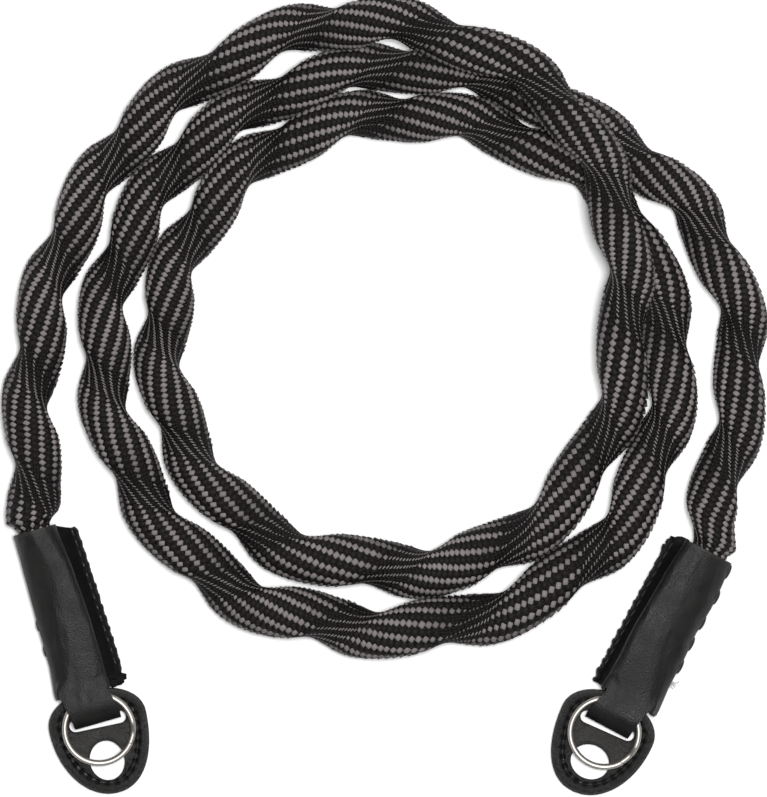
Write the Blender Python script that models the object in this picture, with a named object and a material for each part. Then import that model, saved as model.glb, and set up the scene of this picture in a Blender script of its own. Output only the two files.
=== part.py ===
# Coiled camera strap: a braided cord with a sewn leather end, a guard pad and a split ring at each end.
# Metres, +Z up. It lies on the plane z = 0, and the origin is midway between the two leather ends.

import math

import bmesh
import bpy
from mathutils import Matrix, Vector

MM = 0.001

# Gap kept between pieces that touch on the real strap
FIT = 0.3 * MM

# Cord
CORD_DIAMETER = 9.8 * MM
GROOVE_DEPTH = 1.9 * MM
CORD_WANDER = 0.4 * MM
GROOVE_REAR = math.radians(66)
GROOVE_FRONT = math.radians(89)
CORD_SIDES = 12
STEPS_PER_WAVE = 6
CORD_TAIL = 20.0 * MM
NECK_LENGTH = 7.0 * MM
NECK_PLACES = [-0.6 * MM, 0.35 * MM, 0.8 * MM, 1.3 * MM, 2.0 * MM]

# Leather sleeve and its tab
LEATHER = 1.0 * MM
SLEEVE_LENGTH = 33.5 * MM
LEFT_PANEL_WIDTH = 10.2 * MM
RIGHT_PANEL_WIDTH = 11.2 * MM
SLEEVE_HEIGHT = 9.2 * MM
FLANGE_WIDTH = 3.4 * MM
FLANGE_LEVEL = 1.6 * MM
TAB_WIDTH = 9.8 * MM
TAB_SHIFT = 1.6 * MM
TAB_BEYOND_SLEEVE = 8.0 * MM

# Guard pad, measured from the middle of its slot
PAD_THICKNESS = 1.8 * MM
PAD_WIDTH = 20.2 * MM
PAD_ABOVE_SLOT = 6.6 * MM
PAD_BELOW_SLOT = 15.2 * MM
PAD_LEAN = 0.8 * MM
SLOT_SIDE_GAP = 1.0 * MM
SLOT_VIEW_GAP = 0.9 * MM
HOLE_DISTANCE = 8.3 * MM
LEFT_HOLE_WIDTH = 7.1 * MM
LEFT_HOLE_LENGTH = 8.2 * MM
RIGHT_HOLE_WIDTH = 8.0 * MM
RIGHT_HOLE_LENGTH = 7.1 * MM
PAD_TURN = math.radians(4)

# Split ring
RING_DIAMETER = 15.0 * MM
RING_WIRE = 1.0 * MM
RING_TURN_GAP = 0.06 * MM
RING_BELOW_SLOT = 1.4 * MM
RING_STEP = math.radians(20)

# Where each sleeve's mouth lies, and how far the sleeve is turned from pointing down the page
LEFT_MOUTH = (-68.87 * MM, 26.25 * MM)
LEFT_TURN = math.radians(16)
RIGHT_MOUTH = (68.83 * MM, 21.85 * MM)
RIGHT_TURN = math.radians(-28)

# Centre line of the cord, one row for each place where its groove crosses the top: x, y, z in millimetres
CORD_ROUTE = [
    (-68.7, 34.0, 5.3),
    (-68.9, 57.1, 5.3),
    (-64.2, 80.3, 5.3),
    (-53.4, 101.3, 5.3),
    (-36.9, 117.5, 5.5),
    (-14.9, 128.3, 7.3),
    (10.4, 128.1, 13.7),
    (34.5, 116.6, 16.2),
    (48.0, 96.7, 16.2),
    (51.8, 73.2, 14.2),
    (48.0, 46.3, 6.2),
    (30.0, 24.6, 5.3),
    (5.7, 18.1, 5.3),
    (-21.2, 24.4, 5.3),
    (-37.7, 43.2, 5.3),
    (-42.8, 64.6, 5.3),
    (-37.1, 84.8, 5.3),
    (-20.4, 102.2, 5.3),
    (2.1, 110.4, 5.3),
    (25.3, 107.7, 5.3),
    (47.4, 93.0, 5.3),
    (60.0, 69.9, 5.3),
    (59.6, 45.0, 5.3),
    (46.9, 21.6, 5.3),
    (21.4, 7.7, 5.3),
    (-5.7, 6.1, 5.3),
    (-29.6, 14.2, 5.3),
    (-46.5, 33.2, 5.3),
    (-54.6, 55.9, 5.3),
    (-52.8, 78.1, 5.3),
    (-41.6, 98.9, 5.3),
    (-23.2, 113.2, 5.3),
    (1.3, 120.6, 5.3),
    (26.1, 118.5, 5.3),
    (50.8, 106.2, 5.3),
    (67.1, 89.3, 5.3),
    (75.3, 66.1, 5.3),
    (73.7, 42.0, 5.3),
    (67.6, 20.8, 5.3),
]

# Forms of the sleeve along its length, as shares of its length, panel width, height and flange width.
# Round is 2 for an ellipse and more for a flatter, squarer section.
SLEEVE_FORM = [
    {"along": 0.00, "width": 0.88, "height": 1.00, "round": 2.2, "flange": 0.45},
    {"along": 0.05, "width": 0.88, "height": 1.00, "round": 2.2, "flange": 0.95},
    {"along": 0.30, "width": 0.92, "height": 1.00, "round": 2.3, "flange": 1.00},
    {"along": 0.60, "width": 0.99, "height": 0.95, "round": 2.5, "flange": 1.00},
    {"along": 0.82, "width": 1.03, "height": 0.86, "round": 2.9, "flange": 1.03},
    {"along": 1.00, "width": 1.12, "height": 0.78, "round": 3.4, "flange": 0.90},
]


def clear_scene():
    for item in list(bpy.data.objects):
        bpy.data.objects.remove(item, do_unlink=True)


def material(name, colour, roughness, metallic=0.0):
    made = bpy.data.materials.new(name)
    made.use_nodes = True
    shader = made.node_tree.nodes["Principled BSDF"]
    shader.inputs["Base Color"].default_value = (*colour, 1.0)
    shader.inputs["Roughness"].default_value = roughness
    shader.inputs["Metallic"].default_value = metallic
    return made


def add_object(name, bm, surface=None, place=Matrix.Identity(4)):
    bmesh.ops.recalc_face_normals(bm, faces=bm.faces)
    mesh = bpy.data.meshes.new(name)
    bm.to_mesh(mesh)
    bm.free()
    mesh.shade_smooth()
    mesh.set_sharp_from_angle(angle=math.radians(40))
    made = bpy.data.objects.new(name, mesh)
    bpy.context.scene.collection.objects.link(made)
    made.matrix_world = place
    if surface:
        mesh.materials.append(surface)
    return made


def add_cutter(name, bm, place=Matrix.Identity(4)):
    cutter = add_object(name, bm, place=place)
    cutter.hide_render = True
    cutter.display_type = "WIRE"
    return cutter


def boolean(target, tool, operation):
    modifier = target.modifiers.new(tool.name, "BOOLEAN")
    modifier.operation = operation
    modifier.solver = "EXACT"
    modifier.object = tool


def loft(bm, rings):
    # Skins a row of equal rings of points and caps both ends
    rows = [[bm.verts.new(point) for point in ring] for ring in rings]
    for near, far in zip(rows, rows[1:]):
        for index in range(len(near)):
            following = (index + 1) % len(near)
            bm.faces.new((near[index], near[following], far[following], far[index]))
    bm.faces.new(rows[0])
    bm.faces.new(rows[-1])


def smooth_step(value, low, high):
    share = min(max((value - low) / (high - low), 0.0), 1.0)
    return share * share * (3 - 2 * share)


def spline_point(points, place):
    # Catmull-Rom curve through the points, at a place counted in points
    index = min(int(place), len(points) - 2)
    share = place - index
    start, end = points[index], points[index + 1]
    before = points[index - 1] if index > 0 else 2 * start - end
    after = points[index + 2] if index + 2 < len(points) else 2 * end - start
    return 0.5 * (
        2 * start
        + (end - before) * share
        + (2 * before - 5 * start + 4 * end - after) * share**2
        + (3 * start - before - 3 * end + after) * share**3
    )


def end_frame(mouth, turn):
    # Local X runs from the plain edge to the flange, local Y points back along the cord
    return Matrix.Translation((mouth[0], mouth[1], 0)) @ Matrix.Rotation(turn, 4, "Z")


def bore_section(distance, panel_width):
    # Half width, half height and level of the cord where the leather holds it, at a distance inside the mouth
    row = blended_form(max(distance, 0.0) / SLEEVE_LENGTH)
    height = SLEEVE_HEIGHT * row["height"]
    return panel_width * row["width"] / 2 - LEATHER - FIT, height / 2 - LEATHER - FIT, height / 2


def tail_point(frame):
    return frame @ Vector((0, -CORD_TAIL, CORD_DIAMETER / 2 + CORD_WANDER))


def cord_radius(angle, wave):
    # The groove winds round the cord once for each wave, with a steep rear side and a slow front side
    groove = math.pi / 2 - 2 * math.pi * wave
    offset = (angle - groove + math.pi) % (2 * math.pi) - math.pi
    reach = GROOVE_REAR if offset < 0 else GROOVE_FRONT
    if abs(offset) >= reach:
        return CORD_DIAMETER / 2
    return CORD_DIAMETER / 2 - GROOVE_DEPTH * math.cos(offset / reach * math.pi / 2) ** 2


def cord_places(frames, points):
    # Places along the route, counted in waves: evenly spaced, with closer ones where the cord meets a mouth
    waves = len(points) - 1
    places = [0.0, waves]
    places += [(step + 0.5) / STEPS_PER_WAVE for step in range(waves * STEPS_PER_WAVE)]
    for frame, start, direction in zip(frames, (0, waves), (1, -1)):
        inverse = frame.inverted()
        for reach in NECK_PLACES:
            near, far = 0.0, 3.0
            for _ in range(40):
                middle = (near + far) / 2
                if (inverse @ spline_point(points, start + direction * middle)).y < reach:
                    near = middle
                else:
                    far = middle
            places.append(start + direction * near)
    places.sort()
    return [place for index, place in enumerate(places) if index == 0 or place - places[index - 1] > 0.004]


def build_cord(surface, frames):
    points = [Vector(row) * MM for row in CORD_ROUTE]
    points = [tail_point(frames[0])] + points + [tail_point(frames[1])]
    waves = len(points) - 1
    rings = []
    for place in cord_places(frames, points):
        ahead = spline_point(points, min(place + 0.01, waves))
        behind = spline_point(points, max(place - 0.01, 0))
        end = 0 if place < waves / 2 else 1
        frame = frames[end]
        local = frame.inverted() @ spline_point(points, place)
        panel_width = (LEFT_PANEL_WIDTH, RIGHT_PANEL_WIDTH)[end]
        half_width, half_height, level = bore_section(-local.y, panel_width)
        near_mouth = min(place, waves - place) < 2
        free = smooth_step(local.y, -FIT, NECK_LENGTH) if near_mouth else 1.0
        swell = smooth_step(local.y, NECK_PLACES[1], NECK_PLACES[-1]) if near_mouth else 1.0
        centre = frame @ Vector((local.x * free, local.y, level + (local.z - level) * swell))
        axis = frame.to_3x3() @ Vector((0, -1 if end else 1, 0))
        tangent = ((ahead - behind).normalized() * free + axis * (1 - free)).normalized()
        left = Vector((0, 0, 1)).cross(tangent).normalized()
        up = tangent.cross(left)
        groove = math.pi / 2 - 2 * math.pi * place
        centre -= CORD_WANDER * free * (math.cos(groove) * left + math.sin(groove) * up)
        ring = []
        for side in range(CORD_SIDES):
            angle = 2 * math.pi * side / CORD_SIDES
            full = cord_radius(angle, place)
            wide = half_width + (full - half_width) * swell
            high = half_height + (full - half_height) * swell
            ring.append(centre + left * wide * math.cos(angle) + up * high * math.sin(angle))
        rings.append(ring)
    bm = bmesh.new()
    loft(bm, rings)
    return add_object("braided_cord", bm, surface)


def sleeve_outline(row, panel_width, side, inset):
    # One section: a flattened ring of leather with a flat underside, and the sewn flange on one side
    half_width = panel_width * row["width"] / 2 - inset
    height = SLEEVE_HEIGHT * row["height"]
    middle = height / 2
    half_height = middle - inset
    points = []
    count = 24
    for step in range(count):
        angle = 2 * math.pi * step / count
        across = math.copysign(abs(math.cos(angle)) ** (2 / row["round"]), math.cos(angle)) * half_width
        rise = math.copysign(abs(math.sin(angle)) ** (2 / row["round"]), math.sin(angle)) * half_height
        flattened = rise * (1.03 if rise > 0 else 1.12)
        level = min(max(middle + flattened, inset), height - inset)
        points.append((across * side, level))
    return points


def flange_outline(row, panel_width, side):
    root = panel_width * row["width"] / 2 - LEATHER * 1.6
    edge = panel_width * row["width"] / 2 + FLANGE_WIDTH * row["flange"]
    low = FLANGE_LEVEL
    high = FLANGE_LEVEL + 2 * LEATHER
    return [(root * side, low), (edge * side, low), (edge * side, high), (root * side, high)]


def blended_form(along):
    # The sleeve's form at any share of its length
    rows = SLEEVE_FORM
    for first, second in zip(rows, rows[1:]):
        if along <= second["along"]:
            share = (along - first["along"]) / (second["along"] - first["along"])
            return {key: first[key] + (second[key] - first[key]) * share for key in first}
    return rows[-1]


def tab_path():
    # Middle line of the tab's leather in side view: distance from the mouth, height
    half = LEATHER / 2
    low = half + 0.03 * LEATHER
    start = SLEEVE_LENGTH - 3 * LEATHER
    fold = SLEEVE_LENGTH + TAB_BEYOND_SLEEVE - half
    top = SLEEVE_HEIGHT * SLEEVE_FORM[-1]["height"] - half
    crest = ring_top_level() + FIT + half
    return [
        (start, top - 0.1 * LEATHER),
        (SLEEVE_LENGTH, (top + crest) / 2 - 0.1 * LEATHER),
        (SLEEVE_LENGTH + TAB_BEYOND_SLEEVE * 0.26, crest),
        (SLEEVE_LENGTH + TAB_BEYOND_SLEEVE * 0.55, crest - 0.05 * LEATHER),
        (SLEEVE_LENGTH + TAB_BEYOND_SLEEVE * 0.75, crest - 0.8 * LEATHER),
        (fold - 0.5 * LEATHER, crest * 0.69),
        (fold, crest * 0.52),
        (fold, 2.2 * half + crest * 0.1),
        (fold - 0.45 * LEATHER, low + 0.35 * LEATHER),
        (fold - 1.3 * LEATHER, low),
        (SLEEVE_LENGTH, low),
        (start, low),
    ]


def pad_slope():
    # The pad leans on the returning leather just above its slot and rests on its far edge
    rise = LEATHER + FIT
    return math.atan2(rise, PAD_BELOW_SLOT - slot_top())


def slot_top():
    # The slot's upper edge clears the turned tab, which fills the slot's upper part
    return -(LEATHER / 2 + FIT + TAB_WIDTH / 2 * math.tan(PAD_TURN) + 0.1 * LEATHER)


def slot_bottom():
    return LEATHER / 2 + SLOT_VIEW_GAP


def slot_distance():
    # From the sleeve's mouth to the middle of the tab's leather where it passes the pad
    return SLEEVE_LENGTH + TAB_BEYOND_SLEEVE - LEATHER / 2


def ring_top_level():
    # Highest point of the ring where it lies under the tab
    far = PAD_BELOW_SLOT - RING_BELOW_SLOT + RING_DIAMETER / 2
    return far * math.sin(pad_slope()) + PAD_THICKNESS + FIT + 2 * RING_WIRE + RING_TURN_GAP


def build_sleeve(name, frame, side, panel_width, surface):
    outer = bmesh.new()
    inner = bmesh.new()
    flange = bmesh.new()
    shares = [0.0, 0.05, 0.17, 0.30, 0.45, 0.60, 0.71, 0.82, 0.91, 1.0]
    outer_rings = []
    inner_rings = []
    flange_rings = []
    for share in shares:
        row = blended_form(share)
        y = -SLEEVE_LENGTH * share
        outer_rings.append([(x, y, z) for x, z in sleeve_outline(row, panel_width, side, 0)])
        flange_rings.append([(x, y, z) for x, z in flange_outline(row, panel_width, side)])
        beyond = {0.0: LEATHER, 1.0: -LEATHER}.get(share, 0.0)
        inner_rings.append([(x, y + beyond, z) for x, z in sleeve_outline(row, panel_width, side, LEATHER)])
    loft(outer, outer_rings)
    loft(inner, inner_rings)
    loft(flange, flange_rings)
    sleeve = add_object(name, outer, surface, frame)
    boolean(sleeve, add_cutter(name + "_flange", flange, frame), "UNION")
    boolean(sleeve, add_cutter(name + "_tab", tab_strip(side), frame), "UNION")
    boolean(sleeve, add_cutter(name + "_bore", inner, frame), "DIFFERENCE")
    return sleeve


def tab_strip(side):
    bm = bmesh.new()
    path = [Vector((-distance, height)) for distance, height in tab_path()]
    half = LEATHER / 2
    rings = []
    for index, point in enumerate(path):
        ahead = path[min(index + 1, len(path) - 1)]
        behind = path[max(index - 1, 0)]
        along = (ahead - behind).normalized()
        normal = Vector((-along.y, along.x)) * half
        shift = TAB_SHIFT * smooth_step(-point.x, SLEEVE_LENGTH * 0.9, slot_distance())
        near = (shift - TAB_WIDTH / 2) * side
        far = (shift + TAB_WIDTH / 2) * side
        top, low = point + normal, point - normal
        rings.append([(near, top.x, top.y), (far, top.x, top.y), (far, low.x, low.y), (near, low.x, low.y)])
    loft(bm, rings)
    return bm


def lean(y):
    # The pad's lower part leans towards the flange side, more and more towards its far edge
    return PAD_LEAN * min(y / PAD_BELOW_SLOT, 0.0) ** 2


def superellipse(width, above, below, count, power):
    # Outline whose upper and lower halves reach different distances
    points = []
    for step in range(count):
        angle = 2 * math.pi * step / count
        cosine, sine = math.cos(angle), math.sin(angle)
        reach = above if sine > 0 else below
        x = math.copysign(abs(cosine) ** (2 / power), cosine) * width / 2
        y = math.copysign(abs(sine) ** (2 / power), sine) * reach
        points.append((x, y))
    return points


def plate(outline, low, high):
    bm = bmesh.new()
    loft(bm, [[(x, y, z) for x, y in outline] for z in (low, high)])
    return bm


def slot_outline():
    # Long slot with round ends, across the pad
    middle = -(slot_top() + slot_bottom()) / 2
    radius = (slot_bottom() - slot_top()) / 2
    straight = TAB_WIDTH / 2 + SLOT_SIDE_GAP - radius
    points = []
    for centre, start in ((straight, -90), (-straight, 90)):
        for step in range(7):
            angle = math.radians(start + step * 30)
            points.append((centre + radius * math.cos(angle), middle + radius * math.sin(angle)))
    return points


def pad_frame(frame, side):
    # Placed so that the far edge of the pad rests on the surface and its slot takes the tab
    slope = Matrix.Rotation(pad_slope(), 4, "X")
    base = Matrix.Translation((TAB_SHIFT * side, -slot_distance(), PAD_BELOW_SLOT * math.sin(pad_slope())))
    return frame @ base @ Matrix.Rotation(-PAD_TURN * side, 4, "Z") @ slope


def build_pad(name, frame, side, hole_width, hole_length, surface):
    place = pad_frame(frame, side)
    edge = 0.25 * PAD_THICKNESS
    whole = superellipse(PAD_WIDTH, PAD_ABOVE_SLOT, PAD_BELOW_SLOT, 48, 2.1)
    inset = superellipse(PAD_WIDTH - 2 * edge, PAD_ABOVE_SLOT - edge, PAD_BELOW_SLOT - edge, 48, 2.1)
    bm = bmesh.new()
    levels = ((whole, 0.0), (whole, PAD_THICKNESS - edge), (inset, PAD_THICKNESS))
    loft(bm, [[(x + lean(y) * side, y, z) for x, y in outline] for outline, z in levels])
    pad = add_object(name, bm, surface, place)
    slot = plate(slot_outline(), -PAD_THICKNESS, 2 * PAD_THICKNESS)
    boolean(pad, add_cutter(name + "_slot", slot, place), "DIFFERENCE")
    hole = superellipse(hole_width, hole_length / 2, hole_length / 2, 28, 2.0)
    hole = [(x + lean(-HOLE_DISTANCE) * side, y - HOLE_DISTANCE) for x, y in hole]
    hole = plate(hole, -PAD_THICKNESS, 2 * PAD_THICKNESS)
    boolean(pad, add_cutter(name + "_hole", hole, place), "DIFFERENCE")
    return pad


def build_ring(name, frame, side, surface):
    # Two flat turns of one wire: it steps up once, and its upper end stops short of the step
    rise = RING_WIRE + RING_TURN_GAP
    radius = (RING_DIAMETER - RING_WIRE) / 2
    steps = 30
    last = 2 * steps - 3
    sides = 8
    rings = []
    for index in range(last + 1):
        turned = 2 * math.pi * index / steps
        level = rise * smooth_step(turned, 2 * math.pi - RING_STEP, 2 * math.pi)
        ring = []
        for corner in range(sides):
            angle = 2 * math.pi * (corner + 0.5) / sides
            out = radius + RING_WIRE / 2 * math.cos(angle)
            up = level + RING_WIRE / 2 * math.sin(angle)
            ring.append((out * math.cos(turned), out * math.sin(turned), up))
        rings.append(ring)
    bm = bmesh.new()
    loft(bm, rings)
    base = pad_frame(frame, side)
    lift = PAD_THICKNESS + FIT + RING_WIRE / 2
    place = base @ Matrix.Translation((0, -RING_BELOW_SLOT, lift))
    return add_object(name, bm, surface, place)


def build_strap():
    clear_scene()
    braid = material("black_grey_braid", (0.035, 0.031, 0.030), 0.75)
    leather = material("black_leather", (0.022, 0.022, 0.023), 0.5)
    steel = material("bright_steel", (0.72, 0.71, 0.69), 0.25, 1.0)
    left = end_frame(LEFT_MOUTH, LEFT_TURN)
    right = end_frame(RIGHT_MOUTH, RIGHT_TURN)
    build_cord(braid, (left, right))
    build_sleeve("left_sleeve", left, 1, LEFT_PANEL_WIDTH, leather)
    build_sleeve("right_sleeve", right, -1, RIGHT_PANEL_WIDTH, leather)
    build_pad("left_guard_pad", left, 1, LEFT_HOLE_WIDTH, LEFT_HOLE_LENGTH, leather)
    build_pad("right_guard_pad", right, -1, RIGHT_HOLE_WIDTH, RIGHT_HOLE_LENGTH, leather)
    build_ring("left_split_ring", left, 1, steel)
    build_ring("right_split_ring", right, -1, steel)


build_strap()
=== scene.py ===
# Coiled camera strap: a black braided cord flecked with grey, with a sewn black leather sleeve, a guard
# pad and a split ring at each end. Metres, +Z up, lying on the floor at z = 0.

import math

import bmesh
import bpy
import numpy as np
from mathutils import Matrix, Vector, noise


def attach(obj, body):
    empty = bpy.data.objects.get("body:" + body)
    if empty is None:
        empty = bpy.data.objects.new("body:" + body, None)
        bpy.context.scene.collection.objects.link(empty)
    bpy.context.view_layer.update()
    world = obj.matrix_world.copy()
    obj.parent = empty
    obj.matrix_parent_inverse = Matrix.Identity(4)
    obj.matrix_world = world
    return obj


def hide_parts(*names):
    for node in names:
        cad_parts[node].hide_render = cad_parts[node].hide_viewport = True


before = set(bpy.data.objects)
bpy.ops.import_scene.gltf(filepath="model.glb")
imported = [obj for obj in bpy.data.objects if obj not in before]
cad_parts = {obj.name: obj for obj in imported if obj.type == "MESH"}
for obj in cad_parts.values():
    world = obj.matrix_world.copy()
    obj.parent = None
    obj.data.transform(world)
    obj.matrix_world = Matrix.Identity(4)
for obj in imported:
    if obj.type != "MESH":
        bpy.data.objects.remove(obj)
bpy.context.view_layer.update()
mm = 0.001
scene = bpy.context.scene


def linearColour(code):
    parts = [int(code[place:place + 2], 16) / 255 for place in (1, 3, 5)]
    linear = [part / 12.92 if part <= 0.04045 else ((part + 0.055) / 1.055) ** 2.4 for part in parts]
    return (*linear, 1.0)


def setNode(tree, node, settings=None, links=None):
    # A string sets a property or a named input, a number an input by its place, stops a ramp's colours
    for key, value in (settings or {}).items():
        if key == "stops":
            elements = node.color_ramp.elements
            while len(elements) < len(value):
                elements.new(0.5)
            for element, (place, code) in zip(elements, value):
                element.position = place
                element.color = linearColour(code)
        elif isinstance(key, str) and hasattr(node, key):
            setattr(node, key, value)
        else:
            node.inputs[key].default_value = value
    # A link comes from an output, or from a node's first one
    for key, source in (links or {}).items():
        output = source.outputs[0] if isinstance(source, bpy.types.Node) else source
        tree.links.new(output, node.inputs[key])
    return node


def addNode(tree, kind, settings=None, links=None):
    return setNode(tree, tree.nodes.new("ShaderNode" + kind), settings, links)


def startMaterial(name):
    made = bpy.data.materials.new(name)
    made.use_nodes = True
    return made, made.node_tree, made.node_tree.nodes["Principled BSDF"]


def placePiece(name, mesh, material, replaced=()):
    piece = bpy.data.objects.new(name, mesh)
    scene.collection.objects.link(piece)
    mesh.materials.clear()
    mesh.materials.append(material)
    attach(piece, "root")
    if replaced:
        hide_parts(*replaced)
    return piece


def keepMesh(name, bm, place=None):
    # Turns finished faces into a smooth mesh, moved to its place on the strap
    if place is not None:
        bmesh.ops.transform(bm, matrix=place, verts=bm.verts)
    mesh = bpy.data.meshes.new(name)
    bm.to_mesh(mesh)
    bm.free()
    mesh.shade_smooth()
    return mesh


def faceUp(bm):
    # Turns an open skin's faces outward, so that the highest one looks up
    bmesh.ops.recalc_face_normals(bm, faces=bm.faces)
    bm.faces.ensure_lookup_table()
    if max(bm.faces, key=lambda face: face.calc_center_median().z).normal.z < 0:
        bmesh.ops.reverse_faces(bm, faces=bm.faces)


def applyModifiers(piece):
    # Keeps the piece's mesh as its modifiers leave it
    graph = bpy.context.evaluated_depsgraph_get()
    finished = bpy.data.meshes.new_from_object(piece.evaluated_get(graph))
    piece.modifiers.clear()
    piece.data = finished
    piece.data.shade_smooth()


def addModifier(piece, kind, **settings):
    modifier = piece.modifiers.new(kind.lower(), kind)
    for key, value in settings.items():
        setattr(modifier, key, value)


def thickenLeather(piece, thickness, rounding):
    # Gives a leather skin its thickness inward and rounds its cut edges
    addModifier(piece, "SOLIDIFY", thickness=thickness, offset=-1.0, use_even_offset=False)
    addModifier(
        piece, "BEVEL", width=rounding, segments=3, limit_method="ANGLE", angle_limit=math.radians(50)
    )
    applyModifiers(piece)


def smoothStep(value, low, high):
    share = np.clip((value - low) / (high - low), 0.0, 1.0)
    return share * share * (3 - 2 * share)


def uneven(x, y, z):
    # Even, repeatable unevenness between -1 and 1
    return noise.noise(Vector((x, y, z)))


def throughKnots(before, start, end, after, share):
    # Catmull-Rom curve between the two middle knots
    return 0.5 * (
        2 * start + (end - before) * share + (2 * before - 5 * start + 4 * end - after) * share**2
        + (3 * start - before - 3 * end + after) * share**3
    )


# The camera looks straight down, as in the photograph
view = {
    "centre": (2.375 * mm, 53.10 * mm),
    "height": 162.59 * mm,
    "distance": 2.5,
    "level": 5.3 * mm,
    "sensor": 36.0,
    "reach": 20.0,
}

lens = bpy.data.cameras.new("photoCamera")
lens.sensor_width = view["sensor"]
lens.lens = view["sensor"] * (view["distance"] - view["level"]) / view["height"]
lens.clip_end = view["reach"]
photoCamera = bpy.data.objects.new("photoCamera", lens)
photoCamera.location = (*view["centre"], view["distance"])
scene.collection.objects.link(photoCamera)
scene.camera = photoCamera
print("camera made")


# The braided cord. One wave is one turn of its groove, and angles count from its left side over the top.
braid = {
    "diameter": 9.8 * mm,
    "grooveDepth": 1.4 * mm,
    "grooveSharpness": 1.76,
    "wander": 0.4 * mm,
    "sideWander": 0.63 * mm,
    "sideLag": 0.055,
    "rowDrift": math.radians(11),
    "proud": 0.13 * mm,
    "grooveRear": math.radians(108),
    "grooveFront": math.radians(87),
    "tail": 20 * mm,
    "neckLength": 7 * mm,
    "neckStart": 0.2 * mm,
    "neckEnd": 2.8 * mm,
    "puffFade": (3 * mm, 8 * mm),
    "floorGap": 0.02 * mm,
    "sides": 72,
    "ringsPerWave": 27,
    "strandRows": 12,
    "dashStart": -50,
    "dashEnd": 72,
    "dashFade": 8,
    "ribTop": 0.10 * mm,
    "ribDepth": 0.14 * mm,
    "picksPerWave": 14,
    "pickStart": 0.42,
    "closing": 0.15,
    "dashesPerWave": 12,
    "pickFullness": 0.42,
    "pickOverlap": 1.20,
    "pickAcross": 1.82 * mm,
    "darkOverlap": 1.20,
    "darkAcross": 1.90 * mm,
    "pickLean": 0.26,
    "pickTilt": 0.22 * mm,
    "pickTop": 0.12 * mm,
    "darkTop": 0.04 * mm,
    "pickEdge": -0.36 * mm,
    "groundDepth": 0.30 * mm,
    "dashOpening": 0.14,
    "dashLength": 1.02 * mm,
    "dashWidth": 0.31 * mm,
    "dashLean": 42,
    "dashTop": 0.07 * mm,
    "dashEdge": -0.16 * mm,
    "seed": 11,
}

# The cord is a little fuller the nearer it lies to the leather ends
cordFullness = {
    "y": [25 * mm, 45 * mm, 65 * mm, 90 * mm, 125 * mm],
    "share": [1.085, 1.06, 1.035, 1.005, 0.985],
}

# Centre line in millimetres, one row for each place where the groove crosses the top
cordRoute = [
    (-68.7, 34.0, 5.3), (-69.2, 57.1, 5.3), (-64.4, 80.4, 5.3), (-53.4, 101.3, 5.3), (-36.9, 117.5, 5.5),
    (-12.9, 128.6, 7.3), (10.4, 128.1, 13.7), (34.5, 116.6, 16.2), (48.0, 96.7, 16.2), (51.8, 73.2, 14.2),
    (48.0, 46.3, 6.2), (30.0, 24.6, 5.3), (5.7, 18.3, 5.3), (-21.0, 24.8, 5.3), (-37.6, 43.2, 5.3),
    (-42.8, 64.6, 5.3), (-37.4, 85.0, 5.3), (-22.5, 102.6, 5.3), (0.4, 110.8, 5.3), (24.6, 107.9, 5.3),
    (48.2, 94.8, 5.3), (60.0, 69.9, 5.3), (59.0, 45.2, 5.3), (46.4, 22.1, 5.3), (21.3, 8.1, 5.3),
    (-5.6, 6.7, 5.3), (-29.3, 14.7, 5.3), (-46.4, 33.3, 5.3), (-54.5, 55.9, 5.3), (-52.6, 78.0, 5.3),
    (-41.6, 98.9, 5.3), (-23.2, 113.2, 5.3), (1.3, 120.6, 5.3), (25.8, 117.9, 5.3), (50.0, 104.9, 5.3),
    (67.1, 89.3, 5.3), (75.4, 66.1, 5.3), (72.9, 42.0, 5.3), (65.5, 20.8, 5.3),
]

sleeve = {
    "leather": 1.0 * mm,
    "fit": 0.3 * mm,
    "length": 33.5 * mm,
    "height": 9.2 * mm,
    "flangeWidth": 3.4 * mm,
    "flangeLevel": 1.6 * mm,
    "tabWidth": 9.8 * mm,
    "tabShift": 1.6 * mm,
    "tabBeyond": 8.0 * mm,
    "panelEnd": 34.7 * mm,
    "topFullness": 1.03,
    "underFullness": 1.12,
    "tabDegrees": (40, 140),
    "tabRun": 3 * mm,
    "tabStep": 0.35 * mm,
    "tabCrown": 0.22 * mm,
    "crownSteps": 30,
    "columns": 90,
    "bodyRows": 62,
    "skin": 0.95 * mm,
    "rounding": 0.22 * mm,
    "broadDents": 0.22 * mm,
    "longCreases": 0.20 * mm,
    "fineDents": 0.08 * mm,
}

# The sleeve's form along its length, as shares of its length, width, height and flange width
sleeveForm = {
    "along": [0.00, 0.05, 0.30, 0.60, 0.82, 1.00],
    "width": [0.88, 0.88, 0.92, 0.99, 1.03, 1.12],
    "height": [1.00, 1.00, 1.00, 0.95, 0.86, 0.78],
    "round": [2.2, 2.2, 2.3, 2.5, 2.9, 3.4],
    "flange": [0.45, 0.95, 1.00, 1.00, 1.03, 0.90],
}


def formAt(distance):
    share = np.clip(np.asarray(distance) / sleeve["length"], 0.0, 1.0)
    return {key: np.interp(share, sleeveForm["along"], sleeveForm[key]) for key in sleeveForm}


def endPlace(mouth, turn):
    # Local X runs from the plain edge to the flange, local Y points back along the cord
    spot = Matrix.Translation((mouth[0] * mm, mouth[1] * mm, 0))
    return spot @ Matrix.Rotation(math.radians(turn), 4, "Z")


# Puff is how much fuller the cord stands just outside the leather, on the flange's side
leftEnd = {
    "name": "left", "place": endPlace((-68.87, 26.25), 16), "side": 1, "width": 10.2 * mm, "puff": 0.115
}
rightEnd = {
    "name": "right", "place": endPlace((68.83, 21.85), -28), "side": -1, "width": 11.2 * mm, "puff": 0
}


def cordKnots():
    knots = [Vector(row) * mm for row in cordRoute]
    tail = Vector((0, -braid["tail"], braid["diameter"] / 2 + braid["wander"]))
    return np.array([leftEnd["place"] @ tail] + knots + [rightEnd["place"] @ tail])


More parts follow.
